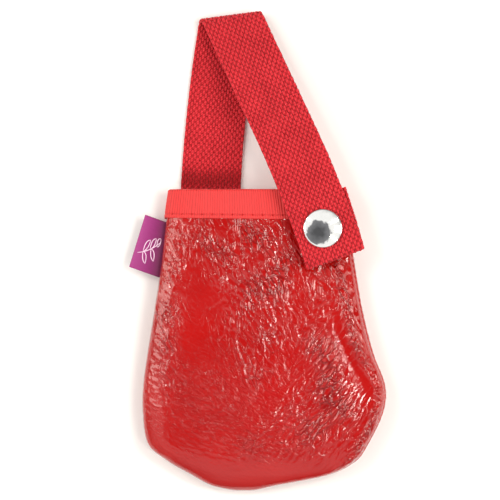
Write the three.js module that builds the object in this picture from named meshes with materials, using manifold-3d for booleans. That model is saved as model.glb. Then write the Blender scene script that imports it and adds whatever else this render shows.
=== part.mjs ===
// A small patent-leather pouch, lying on its back, with a webbing strap that is sewn to the back,
// folds over and closes on the front with a press stud. Millimetres, +Z up, +Y towards the strap's fold.
import * as THREE from "three";
import { mergeVertices } from "three/addons/utils/BufferGeometryUtils.js";
import Module from "manifold-3d";

const wasm = await Module();
wasm.setup();

const rad = THREE.MathUtils.degToRad;
const { lerp, smoothstep, clamp } = THREE.MathUtils;

// ---------- Driving dimensions ----------
const GAP = 0.3; // air left between two pieces that touch

// Sheet stock
const PATENT = 1.0;
const LINING = 0.4;
const RIBBON = 0.4;
const WALL = PATENT + GAP + LINING;

// Pouch, seen from above: [y, left x, right x] from the bottom tip to the mouth
const OUTLINE = [
  [-103.3, -10, -2],
  [-100.9, -20.5, 8],
  [-96.2, -29.3, 30.5],
  [-90.2, -39.5, 41.8],
  [-83, -47.6, 46.9],
  [-69.6, -49.8, 53.3],
  [-58.3, -49.6, 54.3],
  [-44, -47.7, 49.3],
  [-26, -44.8, 44.8],
  [-6, -41.8, 41.4],
  [12, -39.7, 38.8],
  [24.6, -37.9, 35.2],
];
const TIP_Y = OUTLINE[0][0];
const MOUTH_Y = OUTLINE[OUTLINE.length - 1][0];
const SQUARENESS = 3.5; // exponent of the rounded cross-section
const SEAM_Z = { tip: 5.5, mouth: 7.5 };
const RISE = { belly: 11, mouth: 6.5 }; // front panel above the seam
const DEPTH = { belly: 7.6, mouth: 3.4 }; // back panel below the seam, flat where it reaches z 0
const ROUND_END = 40; // length over which the bottom rounds up to full thickness
const TAPER = { from: -45, to: 12 }; // where the belly thins towards the mouth

const SHEET_GRID = { columns: 16, rows: 18 }; // the same for every sheet, so that they nest

// Ribbon binding round the mouth
const BINDING_DEPTH = 11.2;
const STITCH_UP = 1.7; // stitch line above the binding's lower edge
const THREAD_R = 0.2;

// Webbing strap. q is the distance past the fold line, v the length along the webbing, u across it.
const WEBBING = { width: 25, thickness: 1.8 };
const STRAP_Z = 1.3; // middle of the webbing where it lies flat
const FOLD = { x: -13.3, y: 96.2, turn: rad(7.5), oblique: rad(16.5) };
const SLOPE = rad(12.5); // of the rising part, which a bend at each end joins to the level parts
const TOP_BEND = { radius: 3.2, turn: Math.PI - SLOPE };
const LEVEL_BEND = { radius: 69, turn: SLOPE };
const topArc = TOP_BEND.radius * TOP_BEND.turn;
const SWEEP = { backRadius: 620, frontFrom: 65, frontRadius: 500 }; // sideways curve of the two legs
const ANCHOR_END_V = -104.2;
const ROOT_V = -69.7;
const TIP_V = 86.7;
const SNAP = { u: -0.9, v: 107.6 };
const END_V = SNAP.v + 13;
const HEM_LENGTH = 25;

// Press stud, closed. Heights are above the front panel's face at the stud.
const SEAT_Z = 13.4;
const SEAT = { flat: 6, fades: 14 }; // the panel is level under the stud and blends out
const STUD = { flangeR: 4.4, ballR: 1.95, neckR: 1.6, base: 0.5, flange: 1.1, top: 3.1 };
const SOCKET = { r: 5.6, boreR: 2.75, bottom: 1.4, roof: 3.45, top: 3.9, grooveR: 3.35 };
const SPRING = { r: 2.95, wire: 0.22, z: 2.4 };
const CAP = { r: 8.3, under: 8.4, edge: 9.0, top: 10.2 };
const POST_R = 1.4;
const HOLE_R = 1.7;
const TIP_Z = SEAT_Z + SOCKET.top + 2 * GAP + 1.5 * WEBBING.thickness; // middle of the strap's upper layer

// Folded label in the left seam: [outer end, seam end] at its top and bottom edge
const LABEL = {
  top: [new THREE.Vector2(-48.6, 14.7), new THREE.Vector2(-41, 12.1)],
  bottom: [new THREE.Vector2(-55.5, -7.6), new THREE.Vector2(-44, -11.6)],
  thickness: 0.8,
};

// ---------- Materials ----------
const material = (color, roughness, metalness = 0) =>
  new THREE.MeshStandardMaterial({ color, roughness, metalness });
const patent = material(0xc0201e, 0.2);
const lining = material(0x8f1c1c, 0.9);
const ribbon = material(0xf84c4c, 0.6);
const webbing = material(0xd13339, 0.85);
const thread = material(0xd8393b, 0.7);
const nickel = material(0xe6e4e0, 0.12, 1);
const spring = material(0xb8b4ac, 0.3, 1);
const satin = material(0xb03a93, 0.5);

// ---------- Solids from surfaces ----------
// A closed solid between two surfaces, each a function of (a, b) from 0 to 1.
function slab(upper, lower, columns, rows) {
  const positions = [];
  const index = [];
  for (const face of [upper, lower]) {
    for (let j = 0; j <= rows; j++) {
      for (let i = 0; i <= columns; i++) {
        positions.push(...face(i / columns, j / rows).toArray());
      }
    }
  }
  const width = columns + 1;
  const under = width * (rows + 1);
  const quad = (a, b, c, d) => index.push(a, b, c, a, c, d);
  for (let j = 0; j < rows; j++) {
    for (let i = 0; i < columns; i++) {
      const k = j * width + i;
      quad(k, k + 1, k + 1 + width, k + width);
      quad(under + k + width, under + k + 1 + width, under + k + 1, under + k);
    }
  }
  for (let i = 0; i < columns; i++) {
    const far = rows * width + i;
    quad(i, under + i, under + i + 1, i + 1);
    quad(far + 1, under + far + 1, under + far, far);
  }
  for (let j = 0; j < rows; j++) {
    const near = j * width;
    const far = near + columns;
    quad(near + width, under + near + width, under + near, near);
    quad(far, under + far, under + far + width, far + width);
  }
  return facingOut(positions, index);
}

// A closed ring through sections, each an equally long list of points.
function ring(sections) {
  const sides = sections[0].length;
  const positions = sections.flat().flatMap((point) => point.toArray());
  const index = [];
  sections.forEach((_, k) => {
    const here = k * sides;
    const next = ((k + 1) % sections.length) * sides;
    for (let i = 0; i < sides; i++) {
      const j = (i + 1) % sides;
      index.push(here + i, here + j, next + j, here + i, next + j, next + i);
    }
  });
  return facingOut(positions, index);
}

function facingOut(positions, index) {
  const geometry = new THREE.BufferGeometry();
  geometry.setAttribute("position", new THREE.Float32BufferAttribute(positions, 3));
  geometry.setIndex(index);
  if (signedVolume(geometry) < 0) {
    for (let i = 0; i < index.length; i += 3) [index[i + 1], index[i + 2]] = [index[i + 2], index[i + 1]];
    geometry.setIndex(index);
  }
  geometry.computeVertexNormals();
  return geometry;
}

function signedVolume(geometry) {
  const position = geometry.getAttribute("position");
  const corner = (i) => new THREE.Vector3().fromBufferAttribute(position, geometry.index.getX(i));
  let volume = 0;
  for (let i = 0; i < geometry.index.count; i += 3) {
    volume += corner(i).dot(corner(i + 1).cross(corner(i + 2))) / 6;
  }
  return volume;
}

// A turned solid about Z. The profile is a list of [radius, z] that closes on the axis or on itself.
function turned(profile, segments = 24) {
  const points = profile.map(([r, z]) => new THREE.Vector2(r, z));
  return new THREE.LatheGeometry(points, segments).rotateX(Math.PI / 2).scale(1, -1, 1);
}

function manifold(geometry) {
  const bare = geometry.clone();
  for (const name of Object.keys(bare.attributes)) {
    if (name !== "position") bare.deleteAttribute(name);
  }
  const merged = mergeVertices(bare, 1e-4);
  const mesh = new wasm.Mesh({
    numProp: 3,
    vertProperties: new Float32Array(merged.attributes.position.array),
    triVerts: new Uint32Array(merged.index.array),
  });
  return new wasm.Manifold(mesh);
}

// The geometry with a straight hole down through it.
function drilled(geometry, centre, radius) {
  const tool = new THREE.CylinderGeometry(radius, radius, 80, 20);
  tool.rotateX(Math.PI / 2).translate(centre.x, centre.y, 0);
  const { vertProperties, triVerts } = manifold(geometry).subtract(manifold(tool)).getMesh();
  const cut = new THREE.BufferGeometry();
  cut.setAttribute("position", new THREE.Float32BufferAttribute(vertProperties, 3));
  cut.setIndex([...triVerts]);
  cut.computeVertexNormals();
  return cut;
}

// ---------- Pouch ----------
const sideCurve = (column) =>
  new THREE.SplineCurve(OUTLINE.map((row) => new THREE.Vector2(row[column], row[0])));
const leftSide = sideCurve(1);
const rightSide = sideCurve(2);

const seamZ = (y) => lerp(SEAM_Z.tip, SEAM_Z.mouth, (y - TIP_Y) / (MOUTH_Y - TIP_Y));

const snapCentre = strap(SNAP.u, SNAP.v).point.setZ(SEAT_Z);

// A point of the front (side 1) or back (side -1) surface, inset from the outer face.
// across runs 0 to 1 from left to right, along 0 to 1 from the tip to the mouth. lift is past the mouth.
function pouchPoint(side, across, along, inset, lift = 0) {
  const left = leftSide.getPoint(along);
  const right = rightSide.getPoint(along);
  const share = -Math.cos(Math.PI * across); // -1 to 1, closer together at the seams
  const x = lerp(left.x + inset, right.x - inset, (share + 1) / 2);
  const edgeY = lerp(left.y, right.y, (share + 1) / 2);
  const y = edgeY + inset * (1 - along) ** 2 + lift;
  const end = clamp(1 - (edgeY - TIP_Y) / ROUND_END, 0, 1);
  const rounding = (1 - end ** 2.5) ** (1 / 2.5);
  const taper = smoothstep(edgeY, TAPER.from, TAPER.to);
  const crown = (1 - Math.abs(share) ** SQUARENESS) ** (1 / SQUARENESS);
  const size = side > 0 ? RISE : DEPTH;
  const height = Math.max(0, lerp(size.belly, size.mouth, taper) * rounding - inset);
  const z = seamZ(edgeY) + side * (GAP / 2 + height * crown);
  if (side < 0) return new THREE.Vector3(x, y, Math.max(z, inset));
  const reach = Math.hypot(x - snapCentre.x, y - snapCentre.y);
  const seated = 1 - smoothstep(reach, SEAT.flat, SEAT.fades);
  return new THREE.Vector3(x, y, lerp(z, SEAT_Z - inset, seated * Math.min(1, crown * 1.2)));
}

// One sheet of the pouch wall, between two insets.
const sheet = (side, outerInset, innerInset) =>
  slab(
    (a, b) => pouchPoint(side, a, rowShare(b), outerInset),
    (a, b) => pouchPoint(side, a, rowShare(b), innerInset),
    SHEET_GRID.columns,
    SHEET_GRID.rows,
  );
const rowShare = (b) => b ** 1.25; // rows a little closer together at the rounded bottom

const alongAtDepth = (depth) => {
  let along = 1;
  while (leftSide.getPoint(along).y > MOUTH_Y - depth) along -= 0.001;
  return along;
};

// Stations once round the mouth: across the front, then back across the back.
function roundTheMouth(count, sectionAt) {
  const front = Array.from({ length: count }, (_, k) => sectionAt(1, k / (count - 1)));
  const back = Array.from({ length: count }, (_, k) => sectionAt(-1, 1 - k / (count - 1)));
  return ring([...front, ...back]);
}

function bindingGeometry() {
  const low = alongAtDepth(BINDING_DEPTH);
  const middle = alongAtDepth(BINDING_DEPTH / 2);
  const outside = -(GAP + RIBBON);
  const inside = WALL + GAP + RIBBON;
  const top = GAP + RIBBON;
  return roundTheMouth(16, (side, across) => [
    pouchPoint(side, across, low, outside),
    pouchPoint(side, across, middle, outside),
    pouchPoint(side, across, 1, outside),
    pouchPoint(side, across, 1, outside + 0.35, top),
    pouchPoint(side, across, 1, inside - 0.35, top),
    pouchPoint(side, across, 1, inside),
    pouchPoint(side, across, low, inside),
    pouchPoint(side, across, low, inside - RIBBON),
    pouchPoint(side, across, 1, inside - RIBBON, GAP),
    pouchPoint(side, across, 1, outside + RIBBON, GAP),
    pouchPoint(side, across, low, outside + RIBBON),
  ]);
}

function bindingThreadGeometry() {
  const depth = BINDING_DEPTH - STITCH_UP;
  const middle = -(GAP + RIBBON + GAP + THREAD_R);
  const above = alongAtDepth(depth - THREAD_R);
  const level = alongAtDepth(depth);
  const below = alongAtDepth(depth + THREAD_R);
  return roundTheMouth(20, (side, across) => [
    pouchPoint(side, across, level, middle - THREAD_R),
    pouchPoint(side, across, above, middle),
    pouchPoint(side, across, level, middle + THREAD_R),
    pouchPoint(side, across, below, middle),
  ]);
}

// ---------- Strap ----------
// Where the webbing is at a distance q past the fold line: run square to that line, height and heading.
function strapProfile(q) {
  const middleZ = STRAP_Z + TOP_BEND.radius;
  const levelArc = LEVEL_BEND.radius * LEVEL_BEND.turn;
  const bendRise = LEVEL_BEND.radius * (1 - Math.cos(SLOPE));
  if (q <= 0) return { run: q, z: STRAP_Z, heading: 0 };
  if (q <= topArc) {
    const heading = q / TOP_BEND.radius;
    const run = TOP_BEND.radius * Math.sin(heading);
    return { run, z: middleZ - TOP_BEND.radius * Math.cos(heading), heading };
  }
  const top = strapProfile(topArc);
  const risingLength = (TIP_Z - top.z - bendRise) / Math.sin(SLOPE);
  const rising = Math.min(q - topArc, risingLength);
  const run = top.run + rising * Math.cos(TOP_BEND.turn);
  const z = top.z + rising * Math.sin(TOP_BEND.turn);
  const past = q - topArc - rising;
  if (past <= 0) return { run, z, heading: TOP_BEND.turn };
  const turned = Math.min(past, levelArc) / LEVEL_BEND.radius;
  const heading = TOP_BEND.turn + turned;
  const level = Math.max(0, past - levelArc);
  return {
    run: run + LEVEL_BEND.radius * (Math.sin(heading) - Math.sin(TOP_BEND.turn)) - level,
    z: z - LEVEL_BEND.radius * (Math.cos(heading) - Math.cos(TOP_BEND.turn)),
    heading,
  };
}

// The middle of the webbing at u across and v along it, with the normal that points into the loop.
function strap(u, v) {
  const alongFold = new THREE.Vector3(Math.cos(FOLD.turn), Math.sin(FOLD.turn), 0);
  const pastFold = new THREE.Vector3(-Math.sin(FOLD.turn), Math.cos(FOLD.turn), 0);
  const q = v * Math.cos(FOLD.oblique) - u * Math.sin(FOLD.oblique);
  const w = v * Math.sin(FOLD.oblique) + u * Math.cos(FOLD.oblique);
  const backSweep = Math.min(q, 0) ** 2 / (2 * SWEEP.backRadius);
  const frontSweep = Math.max(q - SWEEP.frontFrom, 0) ** 2 / (2 * SWEEP.frontRadius);
  const { run, z, heading } = strapProfile(q);
  const point = new THREE.Vector3(FOLD.x, FOLD.y, z)
    .addScaledVector(alongFold, w + backSweep - frontSweep)
    .addScaledVector(pastFold, run);
  const normal = new THREE.Vector3(0, 0, Math.cos(heading)).addScaledVector(pastFold, -Math.sin(heading));
  return { point, normal, alongFold, pastFold };
}

// Ends of a strap piece: square across the webbing, or along the fold line.
const squareCut = (v) => () => v;
const foldCut = (q) => (u) => (q + u * Math.sin(FOLD.oblique)) / Math.cos(FOLD.oblique);

function strapPiece(from, to, rows, columns = 4) {
  const face = (offset) => (a, b) => {
    const u = (a - 0.5) * WEBBING.width;
    const { point, normal } = strap(u, lerp(from(u), to(u), b));
    return point.addScaledVector(normal, offset);
  };
  return slab(face(WEBBING.thickness / 2), face(-WEBBING.thickness / 2), columns, rows);
}

// The end of the webbing turned under: a half turn, then a second layer below the first.
function hemGeometry() {
  const radius = (WEBBING.thickness + GAP) / 2;
  const arc = Math.PI * radius;
  const face = (offset) => (a, b) => {
    const u = (a - 0.5) * WEBBING.width;
    const path = b < 0.4 ? (b / 0.4) * arc : arc + ((b - 0.4) / 0.6) * HEM_LENGTH;
    const turn = Math.min(path / radius, Math.PI);
    const back = Math.max(0, path - arc);
    const ahead = (radius + offset) * Math.sin(turn) - back;
    const { point } = strap(u, END_V + GAP + ahead);
    point.z -= radius - (radius + offset) * Math.cos(turn);
    return point;
  };
  return slab(face(WEBBING.thickness / 2), face(-WEBBING.thickness / 2), 2, 20);
}

// The box and cross of thread that holds the strap's end, under the webbing.
function anchorThreadGeometry() {
  const reach = WEBBING.width / 2 - 3;
  const place = (u, v) => {
    const { point } = strap(u, v);
    return new THREE.Vector2(point.x, point.y);
  };
  const corners = [
    place(-reach, ANCHOR_END_V + 3),
    place(reach, ANCHOR_END_V + 3),
    place(reach, ROOT_V - 16),
    place(-reach, ROOT_V - 16),
  ];
  const centre = place(0, (ANCHOR_END_V + ROOT_V - 13) / 2);
  const pattern = new THREE.Shape(corners);
  corners.forEach((corner, k) => {
    const between = inset([corner, corners[(k + 1) % 4], centre], 2 * THREAD_R);
    pattern.holes.push(new THREE.Path(between));
  });
  const geometry = new THREE.ExtrudeGeometry(pattern, { depth: THREAD_R, bevelEnabled: false });
  return geometry.translate(0, 0, STRAP_Z - WEBBING.thickness / 2 - GAP + 0.05);
}

// A triangle with every side moved in by a distance.
function inset(triangle, distance) {
  const [a, b, c] = triangle;
  const sides = [b.distanceTo(c), c.distanceTo(a), a.distanceTo(b)];
  const perimeter = sides[0] + sides[1] + sides[2];
  const incentre = new THREE.Vector2();
  triangle.forEach((corner, k) => incentre.addScaledVector(corner, sides[k] / perimeter));
  const inradius = Math.abs(b.clone().sub(a).cross(c.clone().sub(a))) / perimeter;
  return triangle.map((corner) => corner.clone().lerp(incentre, distance / inradius));
}

// ---------- Press stud ----------
const capProfile = [
  [0, CAP.top],
  [3.2, CAP.top - 0.12],
  [5.8, CAP.top - 0.45],
  [7.5, CAP.top - 0.95],
  [CAP.r, CAP.edge],
  [CAP.r - 0.2, CAP.under],
  [POST_R, CAP.under],
  [POST_R, SOCKET.top + GAP],
  [0, SOCKET.top + GAP],
];
const socketProfile = [
  [SOCKET.boreR, SOCKET.bottom],
  [SOCKET.boreR, SPRING.z - 0.55],
  [SOCKET.grooveR, SPRING.z - 0.55],
  [SOCKET.grooveR, SPRING.z + 0.55],
  [SOCKET.boreR, SPRING.z + 0.55],
  [SOCKET.boreR, SOCKET.roof],
  [0, SOCKET.roof],
  [0, SOCKET.top],
  [SOCKET.r - 0.4, SOCKET.top],
  [SOCKET.r, SOCKET.top - 0.3],
  [SOCKET.r, SOCKET.bottom + 0.5],
  [SOCKET.r - 0.4, SOCKET.bottom],
  [SOCKET.boreR, SOCKET.bottom],
];
const studProfile = [
  [0, STUD.top],
  [1.2, STUD.top - 0.1],
  [STUD.ballR, STUD.top - 0.8],
  [STUD.neckR, STUD.flange + 0.5],
  [STUD.neckR + 0.5, STUD.flange],
  [STUD.flangeR, STUD.flange],
  [STUD.flangeR, STUD.base],
  [0, STUD.base],
];
const postProfile = [
  [0, STUD.base - GAP],
  [POST_R, STUD.base - GAP],
  [POST_R, -WALL - GAP],
  [4.6, -WALL - GAP],
  [4.6, -WALL - GAP - 0.6],
  [0, -WALL - GAP - 0.6],
];

// ---------- Label ----------
function labelGeometry() {
  const outline = (a, b) => {
    const top = LABEL.top[0].clone().lerp(LABEL.top[1], a);
    const bottom = LABEL.bottom[0].clone().lerp(LABEL.bottom[1], a);
    return bottom.lerp(top, b);
  };
  const face = (side) => (a, b) => {
    const { x, y } = outline(a ** 1.6, b);
    const roundedEnd = Math.sqrt(1 - (1 - Math.min(1, a / 0.2)) ** 2);
    return new THREE.Vector3(x, y, seamZ(y) + side * (LABEL.thickness / 2) * lerp(0.25, 1, roundedEnd));
  };
  return slab(face(1), face(-1), 6, 2);
}

// ---------- Assembly ----------
const bag = new THREE.Group();

function add(parent, name, geometry, finish) {
  const mesh = new THREE.Mesh(geometry, finish);
  mesh.name = name;
  parent.add(mesh);
  return mesh;
}

function addPouch() {
  add(bag, "front_panel", drilled(sheet(1, 0, PATENT), snapCentre, HOLE_R), patent);
  add(bag, "back_panel", sheet(-1, 0, PATENT), patent);
  add(bag, "front_lining", drilled(sheet(1, PATENT + GAP, WALL), snapCentre, HOLE_R), lining);
  add(bag, "back_lining", sheet(-1, PATENT + GAP, WALL), lining);
  add(bag, "mouth_binding", bindingGeometry(), ribbon);
  add(bag, "binding_stitching", bindingThreadGeometry(), thread);
  add(bag, "side_label", labelGeometry(), satin);
}

function addStrap() {
  const halfGap = GAP / 2;
  add(bag, "strap_anchor", strapPiece(squareCut(ANCHOR_END_V), squareCut(ROOT_V - halfGap), 4), webbing);
  add(bag, "anchor_stitching", anchorThreadGeometry(), thread);
  add(bag, "strap_back_leg", strapPiece(squareCut(ROOT_V + halfGap), foldCut(-halfGap), 8), webbing);
  add(bag, "strap_fold", strapPiece(foldCut(halfGap), foldCut(topArc - halfGap), 10), webbing);
  add(bag, "strap_front_leg", strapPiece(foldCut(topArc + halfGap), squareCut(TIP_V - halfGap), 10), webbing);
  const tip = strapPiece(squareCut(TIP_V + halfGap), squareCut(END_V), 6);
  add(bag, "strap_tip", drilled(tip, snapCentre, HOLE_R), webbing);
  add(bag, "strap_hem", drilled(hemGeometry(), snapCentre, HOLE_R), webbing);
}

function addPressStud() {
  const snap = new THREE.Group();
  snap.position.copy(snapCentre);
  bag.add(snap);
  add(snap, "snap_cap", turned(capProfile, 32), nickel);
  add(snap, "snap_socket", turned(socketProfile), nickel);
  const wire = new THREE.TorusGeometry(SPRING.r, SPRING.wire, 6, 24).translate(0, 0, SPRING.z);
  add(snap, "socket_spring", wire, spring);
  add(snap, "snap_stud", turned(studProfile), nickel);
  add(snap, "stud_post", turned(postProfile), nickel);
}

addPouch();
addStrap();
addPressStud();

// The origin is under the middle of the whole object, on the surface that it lies on.
const extent = new THREE.Box3().setFromObject(bag);
const centre = extent.getCenter(new THREE.Vector3());
bag.position.set(-centre.x, -centre.y, -extent.min.z);

// The lines that the strap and the label bend about: a point on each, and its direction.
const cutLine = (v) => strap(12, v).point.sub(strap(-12, v).point).setZ(0).normalize();
const onFace = (v, side) => {
  const { point, normal } = strap(0, v);
  return point.addScaledVector(normal, (side * WEBBING.thickness) / 2);
};
const labelSeam = LABEL.bottom[1].clone().add(LABEL.top[1]).multiplyScalar(0.5);
const labelLine = LABEL.top[1].clone().sub(LABEL.bottom[1]).normalize();
bag.userData.hinges = {
  strap_root: { point: onFace(ROOT_V, 1), direction: cutLine(ROOT_V) },
  strap_fold: { point: onFace(foldCut(topArc)(0), -1), direction: strap(0, 0).alongFold.negate() },
  strap_tip: { point: onFace(TIP_V, -1), direction: cutLine(TIP_V).negate() },
  side_label: {
    point: new THREE.Vector3(labelSeam.x, labelSeam.y, seamZ(labelSeam.y)),
    direction: new THREE.Vector3(labelLine.x, labelLine.y, 0),
  },
};
for (const hinge of Object.values(bag.userData.hinges)) hinge.point.add(bag.position);

export default bag;
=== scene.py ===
import math

import bpy
import numpy as np
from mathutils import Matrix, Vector, noise


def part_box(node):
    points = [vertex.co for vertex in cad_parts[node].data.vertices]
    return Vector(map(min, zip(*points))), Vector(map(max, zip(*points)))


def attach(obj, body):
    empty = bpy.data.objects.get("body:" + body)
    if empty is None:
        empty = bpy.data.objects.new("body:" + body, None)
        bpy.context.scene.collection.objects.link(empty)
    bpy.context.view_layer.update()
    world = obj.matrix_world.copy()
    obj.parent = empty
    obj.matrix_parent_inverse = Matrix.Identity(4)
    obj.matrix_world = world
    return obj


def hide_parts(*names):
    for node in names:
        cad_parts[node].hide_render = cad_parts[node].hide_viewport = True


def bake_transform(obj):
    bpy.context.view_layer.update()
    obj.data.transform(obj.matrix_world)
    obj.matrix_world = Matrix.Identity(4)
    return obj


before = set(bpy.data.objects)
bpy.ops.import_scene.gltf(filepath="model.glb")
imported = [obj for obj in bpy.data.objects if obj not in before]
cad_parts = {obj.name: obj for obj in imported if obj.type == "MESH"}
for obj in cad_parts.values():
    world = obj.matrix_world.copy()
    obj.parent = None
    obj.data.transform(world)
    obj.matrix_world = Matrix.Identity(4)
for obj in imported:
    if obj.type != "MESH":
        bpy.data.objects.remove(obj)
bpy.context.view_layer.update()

MM = 0.001

# ---------- Driving dimensions, as in the CAD ----------
GAP = 0.3
PATENT = 1.0
WALL = 1.7
OUTLINE = np.array([  # y, left x, right x, from the bottom tip to the mouth
    (-103.3, -10, -2),
    (-100.9, -20.5, 8),
    (-96.2, -29.3, 30.5),
    (-90.2, -39.5, 41.8),
    (-83, -47.6, 46.9),
    (-69.6, -49.8, 53.3),
    (-58.3, -49.6, 54.3),
    (-44, -47.7, 49.3),
    (-26, -44.8, 44.8),
    (-6, -41.8, 41.4),
    (12, -39.7, 38.8),
    (24.6, -37.9, 35.2),
])
TIP_Y, MOUTH_Y = OUTLINE[0, 0], OUTLINE[-1, 0]
SQUARENESS, END_SQUARENESS = 3.5, 2.5  # of the pouch's section across and along, as superellipses
SEAM_TIP, SEAM_MOUTH = 5.5, 7.5
RISE_BELLY, RISE_MOUTH = 11, 6.5
DEPTH_BELLY, DEPTH_MOUTH = 7.6, 3.4
ROUND_END = 40
TAPER_FROM, TAPER_TO = -45, 12
BINDING_DEPTH = 11.2
STITCH_UP = 1.7
RIBBON = 0.4
WEBBING_WIDTH, WEBBING_THICK = 25, 1.8
STRAP_Z = 1.3
FOLD_X, FOLD_Y = -13.3, 96.2
FOLD_TURN, OBLIQUE = math.radians(7.5), math.radians(16.5)
SLOPE = math.radians(12.5)
TOP_RADIUS, TOP_TURN = 3.2, math.pi - SLOPE
TOP_ARC = TOP_RADIUS * TOP_TURN
LEVEL_RADIUS = 69
BACK_SWEEP, FRONT_SWEEP_FROM, FRONT_SWEEP = 620, 65, 500
ANCHOR_END_V, ROOT_V, TIP_V = -104.2, -69.7, 86.7
SNAP_U, SNAP_V = -0.9, 107.6
END_V = SNAP_V + 13
HEM_LENGTH, HEM_SIDESTEP = 26.8, 0.3
HEM_SKEW, END_SKEW = math.radians(3), math.radians(-3.3)  # the end isn't cut or turned quite square
SEAT_Z, SEAT_FLAT, SEAT_FADES = 13.4, 6, 14
SOCKET_TOP, CAP_RADIUS, CAP_PRESS = 3.9, 8.3, 0.3
TIP_Z = SEAT_Z + SOCKET_TOP + 2 * GAP + 1.5 * WEBBING_THICK


# ---------- Small tools ----------
def smoothstep(x, low, high):
    t = np.clip((x - low) / (high - low), 0, 1)
    return t * t * (3 - 2 * t)


def lerp(a, b, t):
    return a + (b - a) * t


def bell(x, middle, width):
    return np.exp(-(((x - middle) / width) ** 2))


def wander(*coordinates, seed=0.0):
    """Smooth noise, about -1 to 1, at arrays of coordinates."""
    arrays = np.broadcast_arrays(*coordinates)
    flat = [a.ravel().tolist() for a in arrays]
    while len(flat) < 3:
        flat.append([seed] * len(flat[0]))
    values = [noise.noise(Vector(p)) for p in zip(*flat)]
    return np.array(values).reshape(arrays[0].shape)


def spline(values, t):
    """The CAD's curve through evenly spaced values, t from 0 to 1."""
    t = np.clip(t, 0, 1) * (len(values) - 1)
    i = np.minimum(t.astype(int), len(values) - 2)
    f = t - i
    a = values[np.maximum(i - 1, 0)]
    b = values[i]
    c = values[i + 1]
    d = values[np.minimum(i + 2, len(values) - 1)]
    curve = 2 * b + (c - a) * f + (2 * a - 5 * b + 4 * c - d) * f**2
    return 0.5 * (curve + (3 * b - a - 3 * c + d) * f**3)


def stack(x, y, z):
    return np.stack(np.broadcast_arrays(x, y, z), axis=-1).astype(float)


# ---------- Shapes shared with the CAD ----------
def seam_z(y):
    return lerp(SEAM_TIP, SEAM_MOUTH, (y - TIP_Y) / (MOUTH_Y - TIP_Y))


def strap_profile(q):
    """Run, height and heading at a distance q past the fold line."""
    level_arc = LEVEL_RADIUS * SLOPE
    top_z = STRAP_Z + TOP_RADIUS * (1 - math.cos(TOP_TURN))
    rise = TIP_Z - top_z - LEVEL_RADIUS * (1 - math.cos(SLOPE))
    rising = rise / math.sin(SLOPE)
    in_top = np.clip(q, 0, TOP_ARC) / TOP_RADIUS
    in_rise = np.clip(q - TOP_ARC, 0, rising)
    in_level = np.clip(q - TOP_ARC - rising, 0, level_arc) / LEVEL_RADIUS
    beyond = np.maximum(0, q - TOP_ARC - rising - level_arc)
    run = np.minimum(q, 0) + TOP_RADIUS * np.sin(in_top) - in_rise * math.cos(SLOPE)
    run = run - LEVEL_RADIUS * (math.sin(SLOPE) - np.sin(SLOPE - in_level)) - beyond
    z = STRAP_Z + TOP_RADIUS * (1 - np.cos(in_top)) + in_rise * math.sin(SLOPE)
    z = z + LEVEL_RADIUS * (np.cos(SLOPE - in_level) - math.cos(SLOPE))
    return run, z, in_top + in_level


def strap_point(u, v, n):
    """The webbing at u across, v along and n through its thickness, towards the inside of the loop."""
    hem_radius = (WEBBING_THICK + GAP) / 2
    end_v = END_V - u * math.tan(END_SKEW) * smoothstep(v, SNAP_V, END_V)
    past = np.maximum(0, v - end_v)
    turn = np.minimum(past / hem_radius, math.pi)
    under = np.maximum(0, past - math.pi * hem_radius)
    ahead = (hem_radius - n) * np.sin(turn) - under
    drop = hem_radius - (hem_radius - n) * np.cos(turn)
    skew = HEM_SIDESTEP * turn / math.pi + under * math.tan(HEM_SKEW)
    folded = past > 0
    u = u + np.where(folded, skew, 0)
    v = np.where(folded, end_v + ahead, v)
    n = np.where(folded, drop, n)
    from_cap = np.hypot(u - SNAP_U, v - SNAP_V)
    n = n * (1 - CAP_PRESS * bell(from_cap, CAP_RADIUS, 1.3))  # the cap's rim presses the webbing thinner
    q = v * math.cos(OBLIQUE) - u * math.sin(OBLIQUE)
    w = v * math.sin(OBLIQUE) + u * math.cos(OBLIQUE)
    w = w + np.minimum(q, 0) ** 2 / (2 * BACK_SWEEP)
    w = w - np.maximum(q - FRONT_SWEEP_FROM, 0) ** 2 / (2 * FRONT_SWEEP)
    run, z, heading = strap_profile(q)
    run = run - n * np.sin(heading)
    x = FOLD_X + w * math.cos(FOLD_TURN) - run * math.sin(FOLD_TURN)
    y = FOLD_Y + w * math.sin(FOLD_TURN) + run * math.cos(FOLD_TURN)
    return stack(x, y, z + n * np.cos(heading))


def at(u, v, n=0.0):
    return strap_point(np.array([float(u)]), np.array([float(v)]), np.array([float(n)]))[0]


SNAP = at(SNAP_U, SNAP_V)
SNAP[2] = SEAT_Z
cap_low, cap_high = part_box("snap_cap")
SHIFT = np.array([(cap_low[k] + cap_high[k]) / 2 / MM - SNAP[k] for k in (0, 1)] + [0])


def place(points):
    """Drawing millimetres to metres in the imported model's frame."""
    return (np.asarray(points, float) + SHIFT) * MM


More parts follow.
